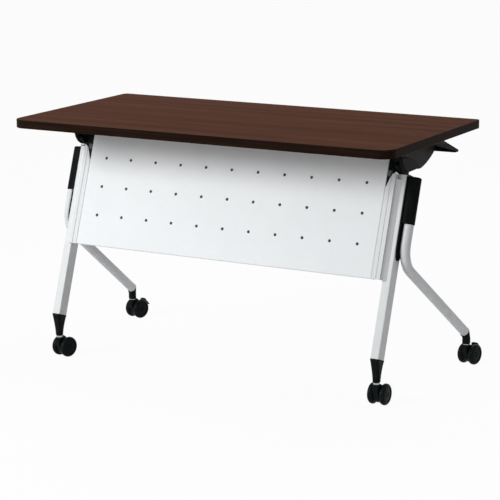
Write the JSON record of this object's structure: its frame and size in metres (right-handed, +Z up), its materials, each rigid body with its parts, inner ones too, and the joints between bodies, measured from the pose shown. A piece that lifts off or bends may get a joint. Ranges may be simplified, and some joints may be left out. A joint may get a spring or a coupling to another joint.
{
  "type": "flip-top conference table",
  "caption": "Flip-top nesting conference table with a dark laminate top, punched modesty panel and silver Y-shaped legs on twin-wheel casters.",
  "frame": {"origin": "middle of the bounding box's footprint, on the floor", "axes": "+X along the table, +Y towards the seated user, +Z up; the modesty panel faces -Y"},
  "size_m": [1.2124, 0.6424, 0.72],
  "materials": {
    "walnut_laminate": "satin laminate, dark walnut",
    "edge_strip": "very dark brown edge strip",
    "silver_paint": "silver grey powder coat",
    "white_panel_paint": "cool white powder coat",
    "black_plastic": "fine moulded grain",
    "black_paint": "satin black",
    "zinc_steel": "zinc plated",
    "wheel_nylon": "smooth moulded nylon"
  },
  "bodies": {
    "frame": {"cross_beam": "silver_paint", "modesty_panel": "white_panel_paint", "leg_left": "silver_paint", "leg_head_left": "black_plastic", "pivot_pin_left": "zinc_steel", "rear_leg_left": "silver_paint", "leg_spacer_left": "black_plastic", "grip_sleeve_left": "black_plastic", "front_socket_left": "black_plastic", "rear_socket_left": "black_plastic", "panel_rail_left": "silver_paint", "leg_right": "silver_paint", "leg_head_right": "black_plastic", "pivot_pin_right": "zinc_steel", "rear_leg_right": "silver_paint", "leg_spacer_right": "black_plastic", "grip_sleeve_right": "black_plastic", "front_socket_right": "black_plastic", "rear_socket_right": "black_plastic", "panel_rail_right": "silver_paint"},
    "top": {"table_top": "walnut_laminate", "edge_band": "edge_strip", "top_bracket_left": "black_paint", "hinge_cover_left": "black_plastic", "top_bracket_right": "black_paint", "hinge_cover_right": "black_plastic"},
    "release": {"release_rod": "zinc_steel", "pawl_left": "zinc_steel", "release_paddle_left": "black_plastic", "pawl_right": "zinc_steel", "release_paddle_right": "black_plastic"},
    "front_left_caster": {"front_left_hood": "black_plastic", "front_left_stem": "zinc_steel", "front_left_axle": "zinc_steel"},
    "front_left_inner_wheel": {"front_left_wheel_inner": "wheel_nylon"},
    "front_left_outer_wheel": {"front_left_wheel_outer": "wheel_nylon"},
    "front_right_caster": {"front_right_hood": "black_plastic", "front_right_stem": "zinc_steel", "front_right_axle": "zinc_steel"},
    "front_right_inner_wheel": {"front_right_wheel_inner": "wheel_nylon"},
    "front_right_outer_wheel": {"front_right_wheel_outer": "wheel_nylon"},
    "rear_left_caster": {"rear_left_hood": "black_plastic", "rear_left_stem": "zinc_steel", "rear_left_axle": "zinc_steel"},
    "rear_left_inner_wheel": {"rear_left_wheel_inner": "wheel_nylon"},
    "rear_left_outer_wheel": {"rear_left_wheel_outer": "wheel_nylon"},
    "rear_left_brake": {"rear_left_brake_pedal": "black_plastic"},
    "rear_right_caster": {"rear_right_hood": "black_plastic", "rear_right_stem": "zinc_steel", "rear_right_axle": "zinc_steel"},
    "rear_right_inner_wheel": {"rear_right_wheel_inner": "wheel_nylon"},
    "rear_right_outer_wheel": {"rear_right_wheel_outer": "wheel_nylon"},
    "rear_right_brake": {"rear_right_brake_pedal": "black_plastic"}
  },
  "joints": [
    {"name": "top_flip", "type": "hinge", "parent": "frame", "child": "top", "pos_m": [-0.00332, -0.05923, 0.661], "axis": [1, 0, 0], "range_deg": [0, 70]},
    {"name": "release_lift", "type": "hinge", "parent": "top", "child": "release", "pos_m": [-0.00332, 0.05077, 0.672], "axis": [1, 0, 0], "range_deg": [0, 6], "stiffness_Nm_per_rad": 2, "springref_deg": -17.19},
    {"name": "front_left_swivel", "type": "hinge", "parent": "frame", "child": "front_left_caster", "pos_m": [-0.52402, -0.22583, 0], "axis": [0, 0, 1], "continuous": true},
    {"name": "front_left_inner_roll", "type": "hinge", "parent": "front_left_caster", "child": "front_left_inner_wheel", "pos_m": [-0.50295, -0.21088, 0.03], "axis": [0.9781, -0.2079, 0], "continuous": true},
    {"name": "front_left_outer_roll", "type": "hinge", "parent": "front_left_caster", "child": "front_left_outer_wheel", "pos_m": [-0.53719, -0.20361, 0.03], "axis": [0.9781, -0.2079, 0], "continuous": true},
    {"name": "front_right_swivel", "type": "hinge", "parent": "frame", "child": "front_right_caster", "pos_m": [0.51738, -0.22583, 0], "axis": [0, 0, 1], "continuous": true},
    {"name": "front_right_inner_roll", "type": "hinge", "parent": "front_right_caster", "child": "front_right_inner_wheel", "pos_m": [0.49955, -0.20714, 0.03], "axis": [0.9998, 0.0175, 0], "continuous": true},
    {"name": "front_right_outer_roll", "type": "hinge", "parent": "front_right_caster", "child": "front_right_outer_wheel", "pos_m": [0.53455, -0.20653, 0.03], "axis": [0.9998, 0.0175, 0], "continuous": true},
    {"name": "rear_left_swivel", "type": "hinge", "parent": "frame", "child": "rear_left_caster", "pos_m": [-0.57932, 0.25727, 0], "axis": [0, 0, 1], "continuous": true},
    {"name": "rear_left_inner_roll", "type": "hinge", "parent": "rear_left_caster", "child": "rear_left_inner_wheel", "pos_m": [-0.55774, 0.27147, 0.03], "axis": [0.9703, -0.2419, 0], "continuous": true},
    {"name": "rear_left_outer_roll", "type": "hinge", "parent": "rear_left_caster", "child": "rear_left_outer_wheel", "pos_m": [-0.59171, 0.27994, 0.03], "axis": [0.9703, -0.2419, 0], "continuous": true},
    {"name": "rear_left_brake", "type": "hinge", "parent": "rear_left_caster", "child": "rear_left_brake", "pos_m": [-0.56786, 0.30323, 0.05297], "axis": [0.9703, -0.2419, 0], "range_deg": [-10, 0]},
    {"name": "rear_right_swivel", "type": "hinge", "parent": "frame", "child": "rear_right_caster", "pos_m": [0.57268, 0.25727, 0], "axis": [0, 0, 1], "continuous": true},
    {"name": "rear_right_inner_roll", "type": "hinge", "parent": "rear_right_caster", "child": "rear_right_inner_wheel", "pos_m": [0.55874, 0.27902, 0.03], "axis": [0.9848, -0.1736, 0], "continuous": true},
    {"name": "rear_right_outer_roll", "type": "hinge", "parent": "rear_right_caster", "child": "rear_right_outer_wheel", "pos_m": [0.59321, 0.27294, 0.03], "axis": [0.9848, -0.1736, 0], "continuous": true},
    {"name": "rear_right_brake", "type": "hinge", "parent": "rear_right_caster", "child": "rear_right_brake", "pos_m": [0.5809, 0.30391, 0.05297], "axis": [0.9848, -0.1736, 0], "range_deg": [-10, 0]}
  ]
}
